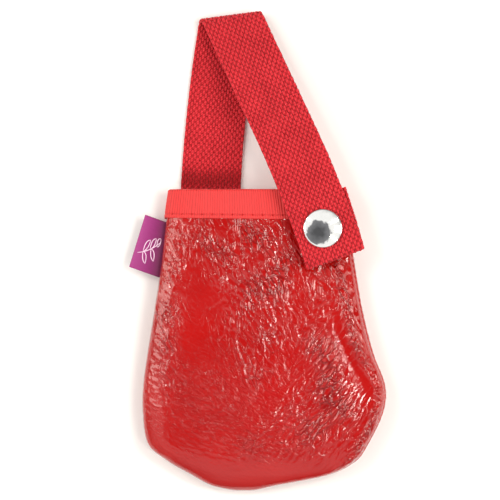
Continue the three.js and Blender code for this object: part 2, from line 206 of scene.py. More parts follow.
def pouch_point(side, across, along, inset=0.0, lift=0.0):
    """A point of the front (side 1) or back (side -1) surface, as in the CAD."""
    across, along, inset, lift = np.broadcast_arrays(across, along, inset, lift)
    edge_y = spline(OUTLINE[:, 0], along)
    left, right = spline(OUTLINE[:, 1], along), spline(OUTLINE[:, 2], along)
    share = -np.cos(np.pi * across)
    x = lerp(left + inset, right - inset, (share + 1) / 2)
    y = edge_y + inset * (1 - along) ** 2 + lift
    end = np.clip(1 - (edge_y - TIP_Y) / ROUND_END, 0, 1)
    rounding = (1 - end**END_SQUARENESS) ** (1 / END_SQUARENESS)
    taper = smoothstep(edge_y, TAPER_FROM, TAPER_TO)
    crown = (1 - np.abs(share) ** SQUARENESS) ** (1 / SQUARENESS)
    belly, mouth = (RISE_BELLY, RISE_MOUTH) if side > 0 else (DEPTH_BELLY, DEPTH_MOUTH)
    height = np.maximum(0, lerp(belly, mouth, taper) * rounding - inset)
    z = seam_z(edge_y) + side * (GAP / 2 + height * crown)
    if side < 0:
        return stack(x, y, np.maximum(z, inset))
    reach = np.hypot(x - SNAP[0], y - SNAP[1])
    seated = (1 - smoothstep(reach, SEAT_FLAT, SEAT_FADES)) * np.minimum(1, crown * 1.2)
    return stack(x, y, lerp(z, SEAT_Z - inset, seated))


def along_at_depth(depth):
    t = np.linspace(1, 0.6, 400)
    return np.interp(depth, MOUTH_Y - spline(OUTLINE[:, 0], t), t)


# ---------- Mesh builders ----------
def grid_faces(rows, columns, wrap=False, start=0):
    """Quads of a rows x columns grid of points, optionally closed across its columns."""
    across = columns if wrap else columns - 1
    j, i = np.meshgrid(np.arange(rows - 1), np.arange(across), indexing="ij")
    right = (i + 1) % columns
    here, above = j * columns, (j + 1) * columns
    quads = np.stack([here + i, here + right, above + right, above + i], -1)
    return (quads.reshape(-1, 4) + start).tolist()


def flipped(faces):
    return [face[::-1] for face in faces]


def shifted(faces, offset):
    """The faces of a mesh that is added after a number of other points."""
    return [[k + offset for k in face] for face in faces]


def count_points(arrays):
    return sum(map(len, arrays))


def make_piece(name, points, faces, material, **attributes):
    """An object from drawing points and faces, smooth shaded, with named values at its points."""
    mesh = bpy.data.meshes.new(name)
    mesh.from_pydata(place(np.reshape(points, (-1, 3))).tolist(), [], faces)
    mesh.update()
    mesh.polygons.foreach_set("use_smooth", [True] * len(mesh.polygons))
    mesh.materials.append(material)
    for key, values in attributes.items():
        layer = mesh.attributes.new(key, "FLOAT", "POINT")
        layer.data.foreach_set("value", np.ravel(values).astype(np.float32))
    piece = bpy.data.objects.new(name, mesh)
    bpy.context.scene.collection.objects.link(piece)
    return piece


def tubes(points):
    """Faces of capped tubes from an array of tube x ring x side points."""
    count, rings, sides = points.shape[:3]
    faces = []
    for k in range(count):
        start = k * rings * sides
        faces += grid_faces(rings, sides, wrap=True, start=start)
        faces.append(list(range(start, start + sides))[::-1])
        last = start + (rings - 1) * sides
        faces.append(list(range(last, last + sides)))
    return faces


def shell(outer, inner):
    """Points and faces of a closed sheet between two grids of the same size."""
    rows, columns = outer.shape[:2]
    size = rows * columns
    points = np.concatenate([outer.reshape(-1, 3), inner.reshape(-1, 3)])
    faces = grid_faces(rows, columns)
    faces += flipped(grid_faces(rows, columns, start=size))
    border = [(0, i) for i in range(columns - 1)]
    border += [(j, columns - 1) for j in range(rows - 1)]
    border += [(rows - 1, i) for i in range(columns - 1, 0, -1)]
    border += [(j, 0) for j in range(rows - 1, 0, -1)]
    loop = [j * columns + i for j, i in border]
    for here, following in zip(loop, loop[1:] + loop[:1]):
        faces.append([following, here, here + size, following + size])
    return points, faces


def round_tube(path, radius, sides=8):
    """Ring points round a path of drawing points."""
    path = np.asarray(path, float)
    ahead = np.gradient(path, axis=0)
    ahead /= np.linalg.norm(ahead, axis=1, keepdims=True)
    side = np.cross(ahead, [0, 0, 1.0])
    side /= np.maximum(np.linalg.norm(side, axis=1, keepdims=True), 1e-6)
    up = np.cross(side, ahead)
    angle = np.linspace(0, 2 * np.pi, sides, endpoint=False)[None, :, None]
    radius = np.reshape(radius, (-1, 1, 1))
    return path[:, None] + radius * (side[:, None] * np.cos(angle) + up[:, None] * np.sin(angle))


def turned(name, profile, material, segments=96):
    """A closed solid turned about the press stud's axis from [radius, height] above the panel."""
    profile = np.array(profile, float)
    angle = np.linspace(0, 2 * np.pi, segments, endpoint=False)
    radius = np.maximum(profile[:, :1], 1e-3)
    x = SNAP[0] + radius * np.cos(angle)
    y = SNAP[1] + radius * np.sin(angle)
    z = SNAP[2] + profile[:, 1:] + 0 * angle
    points = stack(x, y, z)
    faces = grid_faces(len(profile), segments, wrap=True)
    last = (len(profile) - 1) * segments
    faces.append(list(range(segments))[::-1])
    faces.append(list(range(last, last + segments)))
    return make_piece(name, points, faces, material)


# ---------- Materials ----------
CREASE_LIE = (-62, 52)  # degrees from X: the two ways that the patent film's creases lie


def add_ramp(tree, factor, stops):
    """A color ramp through stops of position and color, in a node tree."""
    made = tree.nodes.new("ShaderNodeValToRGB")
    elements = made.color_ramp.elements
    while len(elements) < len(stops):
        elements.new(0.5)
    for element, (position, color) in zip(elements, stops):
        element.position = position
        element.color = (*color, 1)
    tree.links.new(factor, made.inputs["Fac"])
    return made.outputs["Color"]


class Shader:
    """A few helpers round one material's node tree."""

    def __init__(self, name):
        self.material = bpy.data.materials.new(name)
        self.material.use_nodes = True
        self.nodes = self.material.node_tree.nodes
        self.links = self.material.node_tree.links
        self.surface = self.nodes["Principled BSDF"]

    def node(self, kind, **values):
        made = self.nodes.new(kind)
        for key, value in values.items():
            if hasattr(made, key):
                setattr(made, key, value)
            else:
                made.inputs[key.replace("_", " ").title()].default_value = value
        return made

    def set(self, **values):
        for key, value in values.items():
            self.surface.inputs[key.replace("_", " ")].default_value = value

    def link(self, source, target):
        self.links.new(source, target)

    def coordinates(self, scale=(1, 1, 1), turn=0.0):
        """Object coordinates in millimetres along axes turned about Z, then scaled."""
        source = self.node("ShaderNodeTexCoord")
        mapping = self.node("ShaderNodeMapping", vector_type="TEXTURE")
        mapping.inputs["Rotation"].default_value = (0, 0, turn)
        mapping.inputs["Scale"].default_value = [MM / s for s in scale]
        self.link(source.outputs["Object"], mapping.inputs["Vector"])
        return mapping.outputs["Vector"]

    def noise(self, vector, scale=1.0, detail=3.0, roughness=0.5, distortion=0.0):
        made = self.node("ShaderNodeTexNoise")
        made.inputs["Scale"].default_value = scale
        made.inputs["Detail"].default_value = detail
        made.inputs["Roughness"].default_value = roughness
        made.inputs["Distortion"].default_value = distortion
        self.link(vector, made.inputs["Vector"])
        return made.outputs["Fac"]

    def attribute(self, name):
        made = self.node("ShaderNodeAttribute")
        made.attribute_name = name
        return made.outputs["Fac"]

    def warped(self, vector, scale, amount):
        """The vector pushed about by noise."""
        push = self.node("ShaderNodeTexNoise")
        push.inputs["Scale"].default_value = scale
        self.link(vector, push.inputs["Vector"])
        moved = self.node("ShaderNodeVectorMath", operation="MULTIPLY_ADD")
        self.link(push.outputs["Color"], moved.inputs[0])
        moved.inputs[1].default_value = (amount, amount, amount)
        self.link(vector, moved.inputs[2])
        return moved.outputs["Vector"]

    def creases(self, vector, scale, width):
        """0 on the lines of an irregular net and 1 inside its cells."""
        net = self.node("ShaderNodeTexVoronoi", feature="DISTANCE_TO_EDGE")
        net.inputs["Scale"].default_value = scale
        self.link(vector, net.inputs["Vector"])
        made = self.node("ShaderNodeMapRange", interpolation_type="SMOOTHSTEP")
        made.inputs["From Max"].default_value = width
        self.link(net.outputs["Distance"], made.inputs["Value"])
        return made.outputs["Result"]

    def ramp(self, factor, stops):
        return add_ramp(self.material.node_tree, factor, stops)

    def spread(self, factor, low, high):
        made = self.node("ShaderNodeMapRange")
        made.inputs["To Min"].default_value = low
        made.inputs["To Max"].default_value = high
        self.link(factor, made.inputs["Value"])
        return made.outputs["Result"]

    def math(self, operation, a, b):
        made = self.node("ShaderNodeMath", operation=operation)
        for socket, value in zip(made.inputs, (a, b)):
            if isinstance(value, (int, float)):
                socket.default_value = value
            else:
                self.link(value, socket)
        return made.outputs["Value"]

    def weighted(self, *terms):
        """The sum of some values, each times its weight."""
        result = self.math("MULTIPLY", *terms[0])
        for term in terms[1:]:
            result = self.math("ADD", result, self.math("MULTIPLY", *term))
        return result

    def bump(self, height, distance_mm, strength=1.0, after=None):
        made = self.node("ShaderNodeBump")
        made.inputs["Distance"].default_value = distance_mm * MM
        made.inputs["Strength"].default_value = strength
        self.link(height, made.inputs["Height"])
        if after is not None:
            self.link(after, made.inputs["Normal"])
        return made.outputs["Normal"]

    def finish(self, color=None, normal=None, roughness=None):
        if color is not None:
            self.link(color, self.surface.inputs["Base Color"])
        if normal is not None:
            self.link(normal, self.surface.inputs["Normal"])
        if roughness is not None:
            self.link(roughness, self.surface.inputs["Roughness"])
        return self.material


def patent_material():
    """Gloss film over leather, with painted shade along its crease lines. The mesh says where it is creased
    and which way the creases lie.
    """
    s = Shader("crinkled_patent")
    s.set(Specular_IOR_Level=0.25, Coat_Weight=0.7, Coat_Roughness=0.04, Coat_IOR=1.5, IOR=1.5)
    lean = s.attribute("lean")
    shares = []
    for degrees, weight in zip(CREASE_LIE, (s.math("SUBTRACT", 1.0, lean), lean)):
        spot = s.warped(s.coordinates((0.4, 1.0, 0.7), turn=math.radians(degrees)), 0.3, 1.8)
        shares.append(s.math("MULTIPLY", s.creases(spot, 0.46, 0.17), weight))
    net = s.math("ADD", *shares)
    crease = s.attribute("crease")
    lines = s.math("MULTIPLY", s.math("SUBTRACT", 1.0, net), crease)
    wide = s.noise(s.coordinates((0.05, 0.05, 0.05)), detail=2)
    # painted shade: the colour is darker along the crease lines
    shade = s.math("SUBTRACT", wide, s.math("MULTIPLY", lines, 0.36))
    deep, middle, light = (0.28, 0.0015, 0.0013), (0.37, 0.003, 0.0024), (0.43, 0.0048, 0.0036)
    color = s.ramp(shade, [(0.0, deep), (0.3, middle), (0.7, light)])
    net = s.math("MULTIPLY", net, crease)
    grain = s.noise(s.coordinates((0.34, 0.9, 1.0), turn=math.radians(-28)), detail=2, distortion=0.4)
    grain_height = s.math("MULTIPLY", grain, s.attribute("grain"))
    normal = s.bump(net, 0.26, 1.0)
    normal = s.bump(grain_height, 0.65, 1.0, after=normal)
    return s.finish(color, normal, s.spread(grain, 0.04, 0.09))


def lining_material():
    s = Shader("cotton_lining")
    s.set(Specular_IOR_Level=0.2, Sheen_Weight=0.2, Sheen_Roughness=0.5)
    threads = s.noise(s.coordinates((4, 4, 4)), detail=2)
    color = s.ramp(threads, [(0.35, (0.16, 0.008, 0.01)), (0.65, (0.26, 0.014, 0.016))])
    return s.finish(color, s.bump(threads, 0.1, 0.7), s.spread(threads, 0.8, 0.95))


def cotton_material(name, deep, dark, light):
    """Plied yarn: twist lines run round it by the mesh's strand attribute, with fibres over them, and
    painted shade darkens it where its yarns lie deep.
    """
    s = Shader(name)
    s.set(Specular_IOR_Level=0.25, Sheen_Weight=0.2, Sheen_Roughness=0.45, Sheen_Tint=(1, 0.5, 0.5, 1))
    wave = s.math("SINE", s.math("MULTIPLY", s.attribute("strand"), 2 * math.pi), 0)
    ply = s.spread(s.math("MULTIPLY", s.math("ADD", wave, 1), 0.5), 0, 1)
    fibres = s.noise(s.coordinates((3.5, 3.5, 3.5)), detail=4, roughness=0.7)
    wide = s.noise(s.coordinates((0.12, 0.12, 0.12)), detail=2)
    # painted shade: the colour darkens where yarns dip between wefts, on the wefts and hidden core, and at
    # the strap's root
    shade = s.weighted((ply, 0.35), (fibres, 0.4), (wide, 0.35), (s.attribute("sunk"), -0.5))
    color = s.ramp(shade, [(0.0, deep), (0.3, dark), (0.75, light)])
    normal = s.bump(ply, 0.07)
    normal = s.bump(fibres, 0.06, 0.6, after=normal)
    return s.finish(color, normal, s.spread(fibres, 0.75, 0.95))


def ribbon_material():
    s = Shader("grosgrain_ribbon")
    s.set(Specular_IOR_Level=0.35, Sheen_Weight=0.2, Sheen_Roughness=0.4, Sheen_Tint=(1, 0.6, 0.6, 1))
    yarn = s.noise(s.coordinates((1.2, 7, 1.2)), detail=2)
    wide = s.noise(s.coordinates((0.1, 0.1, 0.1)), detail=2)
    # painted shade: lighter on the ribs' tops, darker between them and in the stitches' groove
    shade = s.weighted((yarn, 0.35), (wide, 0.25), (s.attribute("raised"), 0.6))
    deep, middle, light = (0.4, 0.014, 0.014), (0.6, 0.025, 0.025), (0.71, 0.032, 0.032)
    color = s.ramp(shade, [(0.2, deep), (0.5, middle), (0.8, light)])
    return s.finish(color, s.bump(yarn, 0.05, 0.5), s.spread(yarn, 0.45, 0.62))


def label_material():
    s = Shader("woven_satin_label")
    s.set(Specular_IOR_Level=0.4, Sheen_Weight=0.15, Sheen_Roughness=0.3, Sheen_Tint=(1, 0.6, 0.9, 1))
    rows = s.noise(s.coordinates((0.5, 8, 1), turn=math.radians(-19)), detail=1)
    # painted shade: the label darkens towards the seam, where it tucks into the pouch
    shade = s.weighted((rows, 0.3), (s.attribute("inward"), 0.85))
    light, middle, deep = (0.34, 0.012, 0.19), (0.25, 0.008, 0.135), (0.13, 0.005, 0.056)
    color = s.ramp(shade, [(0.15, light), (0.55, middle), (0.95, deep)])
    return s.finish(color, s.bump(rows, 0.05, 0.6), s.spread(rows, 0.35, 0.5))


def thread_material(name, color, light):
    s = Shader(name)
    s.set(Specular_IOR_Level=0.35, Sheen_Weight=0.2)
    fibres = s.noise(s.coordinates((5, 5, 5)), detail=2)
    shades = s.ramp(fibres, [(0.35, color), (0.65, light)])
    return s.finish(shades, s.bump(fibres, 0.04, 0.6), s.spread(fibres, 0.5, 0.7))


def metal_material(name, color, low, high):
    s = Shader(name)
    s.set(Metallic=1.0)
    smudge = s.noise(s.coordinates((0.35, 0.35, 0.35)), detail=4)
    scratch = s.noise(s.coordinates((0.5, 6, 1), turn=0.7), detail=3)
    shades = s.ramp(smudge, [(0.3, tuple(0.93 * c for c in color)), (0.7, color)])
    return s.finish(shades, s.bump(scratch, 0.01, 0.15), s.spread(smudge, low, high))


def floor_material():
    s = Shader("pale_floor")
    s.set(Specular_IOR_Level=0.1)
    mottle = s.noise(s.coordinates((0.01, 0.01, 0.01)), detail=2)
    color = s.ramp(mottle, [(0.3, (0.93, 0.93, 0.925)), (0.7, (0.95, 0.95, 0.945))])
    return s.finish(color, None, s.spread(mottle, 0.85, 0.95))


PATENT_LEATHER = patent_material()
LINING_CLOTH = lining_material()
WEBBING_COTTON = cotton_material(
    "webbing_cotton", deep=(0.3, 0.004, 0.008), dark=(0.47, 0.012, 0.02), light=(0.75, 0.036, 0.05)
)
RIBBON_CLOTH = ribbon_material()
LABEL_SATIN = label_material()
RED_THREAD = thread_material("red_thread", (0.5, 0.02, 0.022), (0.66, 0.04, 0.04))
PALE_THREAD = thread_material("pale_thread", (0.8, 0.52, 0.72), (0.95, 0.75, 0.9))
NICKEL = metal_material("polished_nickel", (0.93, 0.925, 0.91), 0.03, 0.08)
SPRING_WIRE = metal_material("spring_wire", (0.72, 0.7, 0.67), 0.2, 0.3)


# ---------- Pouch ----------
# Patches of the film, each x, y, half width, half height and strength.
CREASED = (
    (-12, 4, 18, 13, 1.3),
    (-22, 7, 6, 7, 1.0),
    (4, -14, 13, 22, 1.2),
    (-2, -44, 15, 22, 0.8),
    (22, -10, 16, 13, 0.8),
    (-38, -20, 7, 36, 1.1),
    (-24, -60, 16, 12, 0.15),
    (40, -20, 5, 20, 0.6),
)
LEANING = ((26, -73, 15, 13, 1.7), (28, -46, 10, 22, 1.4), (4, -82, 14, 8, 0.6))  # creased the other way
RIPPLED = ((-28, -62, 18, 17, 1.0), (-8, -78, 22, 10, 1.0), (-6, -58, 12, 10, 0.5))
GRAINED = (
    (-28, -62, 20, 20, 1.5),
    (-4, -80, 24, 12, 1.4),
    (-40, -10, 8, 40, 1.0),
    (10, -60, 26, 20, 0.3),
)
MOST_CREASED, MOST_GRAINED = 1.7, 1.6
CREST_WIDTH = 0.22  # share of the noise's height that becomes a crest
RIPPLE_LIE, RIPPLE_HEIGHT = math.radians(-22), 0.36
RIDGE_HIGH, RIDGE_LOW = 8.3, 4.9  # how far in from the right edge the ridge runs, above and below
SMOOTH_STRIP = 5.2  # further in than the ridge
STUD_HOLD = 8
FRONT_SEED, BACK_SEED = 10, 80
FRONT_GRID = ((300, 328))  # columns and rows of points
BACK_GRID = ((160, 180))
LINING_GRID = (60, 60)


def panel_grid(columns, rows):
    """Shares of the way across and along a panel, closer together at its tip."""
    return np.meshgrid(np.linspace(0, 1, columns), np.linspace(0, 1, rows) ** 1.15)


def coverage(x, y, patches):
    return sum(strength * bell(x, px, rx) * bell(y, py, ry) for px, py, rx, ry, strength in patches)


def crest(wave):
    """Turns smooth noise into narrow crests with flat ground between them."""
    return np.maximum(0, 1 - np.abs(wave) / CREST_WIDTH) ** 1.3


def crinkle(x, y, creased, lean, seed):
    """Height of the patent film's larger creases, in millimetres."""
    bend_x = 1.6 * wander(x / 9, y / 9, seed=seed + 31)
    bend_y = 1.6 * wander(x / 9, y / 9, seed=seed + 47)
    height = np.zeros_like(x)
    for number, (degrees, share) in enumerate(zip(CREASE_LIE, (1 - lean, lean))):
        turn = math.radians(degrees)
        along = (x + bend_x) * math.cos(turn) + (y + bend_y) * math.sin(turn)
        across = (y + bend_y) * math.cos(turn) - (x + bend_x) * math.sin(turn)
        coarse = wander(along / 6.5, across / 2.6, seed=seed + 3 * number)
        fine = wander(along / 3.0, across / 1.4, seed=seed + 3 * number + 1)
        height += share * (0.55 * crest(coarse) + 0.14 * crest(fine))
    return height * creased


def ripples(x, y, seed):
    """Height of the shallow wavy ripples across the lower left, in millimetres."""
    along = x * math.cos(RIPPLE_LIE) + y * math.sin(RIPPLE_LIE)
    across = y * math.cos(RIPPLE_LIE) - x * math.sin(RIPPLE_LIE)
    across = across + 1.2 * wander(x / 7, y / 7, seed=seed)
    return RIPPLE_HEIGHT * wander(along / 4.2, across / 1.35, seed=seed + 1) * coverage(x, y, RIPPLED)


def soft_dents(x, y, seed):
    """Height of the panel's wide, shallow dents, in millimetres."""
    return 0.55 * wander(x / 26, y / 30, seed=seed) + 0.22 * wander(x / 11, y / 13, seed=seed + 5)


def film_state(x, y, seed):
    """How creased the film is, which way its creases lie, and how strong its grain is."""
    leaning = coverage(x, y, LEANING)
    along_grain = coverage(x, y, CREASED)
    patchy = np.clip(0.75 + 1.0 * wander(x / 12, y / 12, seed=seed + 60), 0.15, 1.4)
    creased = (0.1 + along_grain + leaning) * patchy
    lean = smoothstep(leaning - 0.5 * along_grain, 0.0, 0.25)
    grain = np.clip(0.06 + coverage(x, y, GRAINED), 0, MOST_GRAINED)
    return np.clip(creased, 0, MOST_CREASED), lean, grain


def normals_of(points):
    along_rows = np.gradient(points, axis=0)
    along_columns = np.gradient(points, axis=1)
    normal = np.cross(along_columns, along_rows)
    return normal / np.maximum(np.linalg.norm(normal, axis=2, keepdims=True), 1e-9)


def ridge_place(y):
    return lerp(RIDGE_HIGH, RIDGE_LOW, smoothstep(-y, 34, 62))


def free_film(y, to_right, to_tip):
    """1 where the film is free to crease, and less along the rim and beside the ridge."""
    free = smoothstep(to_right, 2, 5) * smoothstep(to_tip, 3, 24)
    return free * (1 - 0.9 * bell(to_right, ridge_place(y) + SMOOTH_STRIP, 2.6) * bell(y, -50, 30))


def right_edge(x, y, to_right, to_tip, seed):
    """Height of the right edge's swelling, its broken ridge and the gathered groove outside it."""
    ridge_at = ridge_place(y)
    broken = 1 + 1.5 * wander(x / 1.7, y / 1.5, seed=seed + 70)
    ridge = 0.45 * bell(to_right, ridge_at, 1.5) * broken
    gathers = 0.7 + 0.3 * np.sin(2.6 * y + 2 * wander(y / 4, 0 * y, seed=seed + 71))
    ridge = ridge - 0.4 * bell(to_right, 1.7, 0.5) * gathers + 0.25 * bell(to_right, 3.4, 1.0)
    swelling = 1.2 * bell(to_right, ridge_at - 1, 5) * smoothstep(-y, -4, 14)
    return (ridge + swelling) * smoothstep(to_tip, 5, 20)


def seam_pull(across, along, to_left, to_right):
    """The seam draws the panel's edge inwards and gathers it into small puckers."""
    y = spline(OUTLINE[:, 0], along)
    pull = np.zeros(across.shape + (3,))
    for edge, sign, seed, depth in ((to_left, 1, 3, 0.15), (to_right, -1, 9, 0.6)):
        groove = depth * np.exp(-edge / 0.5)
        gather = 0.5 + 0.5 * np.sin(y * 2.1 + 2.5 * wander(y / 6, 0 * y, seed=seed))
        patchy = 0.4 + 0.6 * wander(y / 9, 0 * y, seed=seed + 1) ** 2
        tuck = 0.5 * depth * gather * np.exp(-edge / 2.2) * patchy
        pull[..., 0] += sign * (groove + tuck)
    return pull


def panel_surface(side, across, along):
    """The outer face of one panel, creased, puckered and drawn in along its seam."""
    points = pouch_point(side, across, along)
    x, y = points[..., 0], points[..., 1]
    to_left = x - spline(OUTLINE[:, 1], along)
    to_right = spline(OUTLINE[:, 2], along) - x
    to_tip = y - TIP_Y
    seed = FRONT_SEED if side > 0 else BACK_SEED
    creased, lean, grain = film_state(x, y, seed)
    creased = creased + 1.1 * bell(to_right, ridge_place(y), 1.9)
    height = crinkle(x, y, creased, lean, seed) + soft_dents(x, y, seed + 7) + ripples(x, y, seed + 20)
    free = free_film(y, to_right, to_tip)
    height = height * (0.12 + 0.88 * free) + right_edge(x, y, to_right, to_tip, seed)
    if side > 0:
        to_stud = np.hypot(x - SNAP[0], y - SNAP[1])
        height = height * (1 - 0.8 * bell(to_stud, 0, STUD_HOLD))  # the press stud holds the film flat
    to_edge = np.minimum(np.minimum(to_left, to_right), to_tip)
    fades = smoothstep(to_edge, 0, 1.5) * (1 - smoothstep(along, 0.985, 1))
    points = points + side * normals_of(points) * (height * fades)[..., None]
    points = points + seam_pull(across, along, to_left, to_right)
    if side < 0:
        points[..., 2] = np.maximum(points[..., 2], 0.02)  # stays on the floor
    return points, {"crease": creased * (0.1 + 0.9 * free), "lean": lean, "grain": grain}


def pouch_panel(name, side, node, grid):
    across, along = panel_grid(*grid)
    outer, state = panel_surface(side, across, along)
    points, faces = shell(outer, pouch_point(side, across, along, PATENT))
    if side < 0:
        faces = flipped(faces)
    both = {key: np.concatenate([values.ravel()] * 2) for key, values in state.items()}
    piece = make_piece(name, points, faces, PATENT_LEATHER, **both)
    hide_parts(node)
    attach(piece, "pouch")


def pouch_lining():
    points, faces = [], []
    across, along = panel_grid(*LINING_GRID)
    for side in (1, -1):
        outer = pouch_point(side, across, along, PATENT + GAP)
        rumple = 0.15 * wander(outer[..., 0] / 5, outer[..., 1] / 5, seed=20 + side)
        inner = pouch_point(side, across, along, WALL + 0.1 + np.maximum(rumple, 0))
        some, their_faces = shell(outer, inner)
        if side < 0:
            their_faces = flipped(their_faces)
        faces += shifted(their_faces, count_points(points))
        points.append(some)
    piece = make_piece("pouch_lining", np.concatenate(points), faces, LINING_CLOTH)
    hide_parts("front_lining", "back_lining")
    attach(piece, "pouch")


# ---------- Ribbon binding ----------
RIB_PITCH, RIB_HEIGHT = 1.05, 0.22
STITCH_PITCH = 4.2
THREAD_RADIUS = 0.2
FINE_STATIONS = 2400
RIBBON_STATIONS = FINE_STATIONS


def mouth_stations(count):
    """Evenly spaced stations once round the mouth: side, across and distance."""
    dense = np.linspace(0, 1, 2000)
    low = along_at_depth(BINDING_DEPTH / 2)
    stations = []
    distance = 0.0
    for side, order in ((1, dense), (-1, dense[::-1])):
        points = pouch_point(side, order, low, -0.7)
        steps = np.linalg.norm(np.diff(points, axis=0), axis=1)
        travelled = np.concatenate([[0], np.cumsum(steps)])
        wanted = np.linspace(0, travelled[-1], count // 2)
        across = np.interp(wanted, travelled, order)
        stations.append((side, across, distance + wanted))
        distance += travelled[-1]
    return stations


def binding_depth(side, across):
    """The ribbon's lower edge drops a little to the right on the front."""
    return BINDING_DEPTH + (1.3 * across if side > 0 else 0.6 + 0 * across)


def ribbon_section():
    """The ribbon's section: share of the depth, distance from the middle of the wall, and lift."""
    middle, outer = WALL / 2, WALL / 2 + GAP + RIBBON
    inner = outer - RIBBON
    down = np.concatenate([np.linspace(1, 0.93, 5), np.linspace(0.9, 0.8, 12), np.linspace(0.75, 0.03, 10)])
    outside = [(d, middle - outer, 0.0) for d in down]
    turn = np.linspace(0.1, math.pi - 0.1, 9)
    over = [(0.0, middle - outer * math.cos(t), 0.85 * math.sin(t)) for t in turn]
    unseen = (0.05, 0.3, 0.6, 1)
    inside = [(d, middle + outer, 0.0) for d in unseen]
    back = [(d, middle + inner, 0.0) for d in unseen[::-1]]
    turn_back = np.linspace(math.pi, 0, 5)
    under = [(0.0, middle - inner * math.cos(t), 0.45 * math.sin(t)) for t in turn_back]
    rest = [(d, middle - inner, 0.0) for d in unseen]
    return np.array(outside + over + inside + back + under + rest), len(outside) + len(over)


def ribbon_relief(depth_share, depth, stitch_depth, distance):
    """How far the ribs stand out, less the row of stitches' groove, and how deep its needle holes are."""
    phase = distance / RIB_PITCH + 0.35 * wander(distance / 3, 0 * distance, seed=4)
    ribs = RIB_HEIGHT * (np.abs(np.sin(np.pi * phase)) ** 0.8)[:, None]
    selvedge = smoothstep(depth_share, 0.955, 0.975)
    ribs = ribs * (1 - 0.8 * selvedge) + 0.05 * selvedge
    groove = 0.16 * bell(depth, stitch_depth, 0.28)
    from_hole = np.abs((distance / STITCH_PITCH) % 1 - 0.5)[:, None] * STITCH_PITCH
    pit = 0.4 * bell(depth, stitch_depth, 0.3) * bell(from_hole, 0, 0.3)
    return ribs - groove, pit


def mouth_binding():
    section, ribbed = ribbon_section()
    depth_share, wall_place, lift = section.T[:, None, :]
    shown = (np.arange(len(section)) < ribbed)[None, :]
    rings, raised = [], []
    for side, across, distance in mouth_stations(RIBBON_STATIONS):
        low_edge = binding_depth(side, across)[:, None]
        depth = low_edge * depth_share
        relief, pit = ribbon_relief(depth_share, depth, low_edge - STITCH_UP, distance)
        ripple = 0.12 * wander(distance[:, None] / 9, depth / 9, seed=12)
        inset = wall_place - ((relief - pit) * shown + ripple)
        rings.append(pouch_point(side, across[:, None], along_at_depth(depth), inset, lift))
        # the ribs' height goes on to the colour as painted shade
        raised.append(np.clip(relief / RIB_HEIGHT, 0, 1))
    points = np.concatenate(rings)
    faces = grid_faces(len(points), len(section), wrap=True)
    last = (len(points) - 1) * len(section)
    for k in range(len(section)):
        following = (k + 1) % len(section)
        faces.append([last + k, last + following, following, k])
    piece = make_piece("mouth_ribbon", points, faces, RIBBON_CLOTH, raised=np.concatenate(raised))
    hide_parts("mouth_binding")
    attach(piece, "pouch")


def binding_stitches():
    pieces = []
    for side, across, distance in mouth_stations(FINE_STATIONS):
        level = binding_depth(side, across) - STITCH_UP
        path = pouch_point(side, across, along_at_depth(level), -0.62)
        first = math.ceil(distance[0] / STITCH_PITCH - 0.5)
        last = math.floor(distance[-1] / STITCH_PITCH - 0.5)
        for number in range(first, last):
            middle = (number + 1) * STITCH_PITCH
            wanted = middle + np.linspace(-0.42, 0.42, 12) * STITCH_PITCH
            line = np.stack([np.interp(wanted, distance, path[:, k]) for k in range(3)], axis=1)
            radius = THREAD_RADIUS * np.sqrt(1 - np.linspace(-0.98, 0.98, 12) ** 4)
            pieces.append(round_tube(line, radius, 6))
    points = np.array(pieces)
    piece = make_piece("binding_stitches", points, tubes(points), RED_THREAD)
    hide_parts("binding_stitching")
    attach(piece, "pouch")


# ---------- Webbing ----------
YARNS = 22
ROW = 1.5
YARN_PITCH = WEBBING_WIDTH / YARNS
YARN_STEP = 0.33
YARN_SIDES = 6
YARN_RISE, YARN_HALF_THICK = 0.5, 0.38  # how far a face's yarns lie from the webbing's middle
DIP_DEPTH, DIP_LENGTH = 0.44, 0.48
TWIST_PITCH = 1.1
CORE_HALF_THICK = 0.12
random = np.random.default_rng(7)
YARN_WOBBLE = random.uniform(-0.06, 0.06, YARNS)
YARN_SWELL = random.uniform(0.92, 1.08, YARNS)


def fold_cut(q):
    return lambda u: (q + u * math.sin(OBLIQUE)) / math.cos(OBLIQUE)


def square_cut(v):
    return lambda u: v + 0 * u


def warp_yarns(start, end, length, face):
    """One face's long yarns, each in long floats that dip between two wefts."""
    rings = max(8, int(length / YARN_STEP))
    number = np.arange(YARNS)[:, None]
    u = (number - (YARNS - 1) / 2) * YARN_PITCH
    v = lerp(start(u), end(u), np.linspace(0, 1, rings)[None])
    from_dip = ROW * np.abs((v / ROW + number + (face > 0)) % 2 - 1)
    sunk = np.exp(-((from_dip / DIP_LENGTH) ** 2))
    uneven = 1 + 0.1 * wander(v / 4, number * 3.7, seed=2 + face)
    middle = face * (YARN_RISE * uneven - DIP_DEPTH * sunk)
    lateral = u + YARN_WOBBLE[:, None] + 0.12 * wander(v / 2.2, number * 2.3, seed=6 + face)
    half_width = (0.62 - 0.2 * sunk) * YARN_SWELL[:, None] * uneven
    angle = np.linspace(0, 2 * np.pi, YARN_SIDES, endpoint=False)
    across = lateral[..., None] + half_width[..., None] * np.cos(angle)
    through = middle[..., None] + YARN_HALF_THICK * np.sin(angle)
    along = v[..., None] + 0 * across
    twist = along / TWIST_PITCH + angle / (2 * np.pi) * 2
    # the dip share also goes on to the colour as painted shade in the dips
    return strap_point(across, along, through), twist, sunk[..., None] + 0 * across


